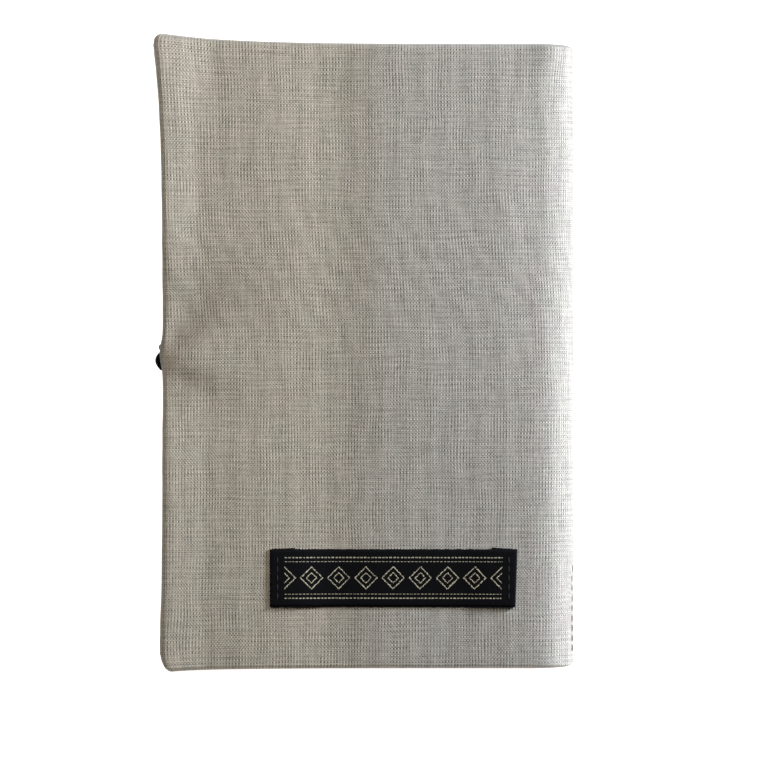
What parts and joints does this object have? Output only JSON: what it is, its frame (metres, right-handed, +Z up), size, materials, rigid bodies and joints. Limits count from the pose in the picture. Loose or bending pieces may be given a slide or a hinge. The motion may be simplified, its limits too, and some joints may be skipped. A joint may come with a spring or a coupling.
{
  "type": "needle book",
  "caption": "Closed sewn needle book with padded linen covers, a round spine, felt leaves to hold needles, and a button with an elastic loop to keep it shut.",
  "frame": {"origin": "bottom centre of the closed book's box, on the surface that it lies on", "axes": "+Z up out of the back cover, +Y towards the head of the book, +X towards the spine"},
  "size_m": [0.1048, 0.1594, 0.0209],
  "materials": {
    "linen": "plain-weave natural linen, matt",
    "cotton_print": "printed cotton, matt",
    "fleece": "needled polyester fleece",
    "lining": "plain cotton, matt",
    "felt": "wool felt",
    "thread": "dark sewing thread",
    "label": "black woven ribbon, slight sheen",
    "label_thread": "black sewing thread",
    "elastic": "black braided elastic",
    "button_wood": "oiled wood"
  },
  "bodies": {
    "front_cover": {"front_cotton": "cotton_print", "front_fleece": "fleece", "front_lining": "lining", "front_pocket": "lining", "front_pocket_hem": "lining", "button": "button_wood", "button_thread": "thread"},
    "spine": {"spine_linen": "linen", "spine_cotton": "cotton_print", "spine_fleece": "fleece", "spine_lining": "lining", "felt_fold_outer": "felt", "felt_fold_inner": "felt", "binding_stitches_outside": "thread", "binding_stitches_gutter": "thread"},
    "back_cover": {"back_linen": "linen", "back_fleece": "fleece", "back_lining": "lining", "back_pocket": "lining", "back_pocket_hem": "lining", "woven_label": "label", "label_stitches_left": "label_thread", "label_stitches_right": "label_thread"},
    "leaf_1": {"felt_leaf_1": "felt"},
    "leaf_2": {"felt_leaf_2": "felt"},
    "leaf_3": {"felt_leaf_3": "felt"},
    "leaf_4": {"felt_leaf_4": "felt"},
    "loop": {"elastic_loop": "elastic"}
  },
  "joints": [
    {"name": "spine_fold", "type": "hinge", "parent": "front_cover", "child": "spine", "pos_m": [0.04918, -0.0011, 0.00284], "axis": [0, 1, 0], "range_deg": [0, 90]},
    {"name": "back_cover_fold", "type": "hinge", "parent": "spine", "child": "back_cover", "pos_m": [0.04918, -0.0011, 0.01656], "axis": [0, 1, 0], "range_deg": [0, 90]},
    {"name": "leaf_1_turn", "type": "hinge", "parent": "spine", "child": "leaf_1", "pos_m": [0.04287, -0.0011, 0.0123], "axis": [0, 1, 0], "range_deg": [0, 81]},
    {"name": "leaf_2_turn", "type": "hinge", "parent": "spine", "child": "leaf_2", "pos_m": [0.04287, -0.0011, 0.01075], "axis": [0, 1, 0], "range_deg": [0, 27]},
    {"name": "leaf_3_turn", "type": "hinge", "parent": "spine", "child": "leaf_3", "pos_m": [0.04287, -0.0011, 0.00865], "axis": [0, 1, 0], "range_deg": [-27, 0]},
    {"name": "leaf_4_turn", "type": "hinge", "parent": "spine", "child": "leaf_4", "pos_m": [0.04287, -0.0011, 0.0071], "axis": [0, 1, 0], "range_deg": [-81, 0]},
    {"name": "loop_release", "type": "hinge", "parent": "back_cover", "child": "loop", "pos_m": [-0.05048, -0.0011, 0.0164], "axis": [0, 1, 0], "range_deg": [0, 100], "stiffness_Nm_per_rad": 0.002, "deforming": ["elastic_loop"]}
  ],
  "couplings": [
    {"joint": "back_cover_fold", "follows": "spine_fold", "ratio": 1},
    {"joint": "leaf_1_turn", "follows": "spine_fold", "ratio": 0.9},
    {"joint": "leaf_2_turn", "follows": "spine_fold", "ratio": 0.3},
    {"joint": "leaf_3_turn", "follows": "spine_fold", "ratio": -0.3},
    {"joint": "leaf_4_turn", "follows": "spine_fold", "ratio": -0.9}
  ]
}
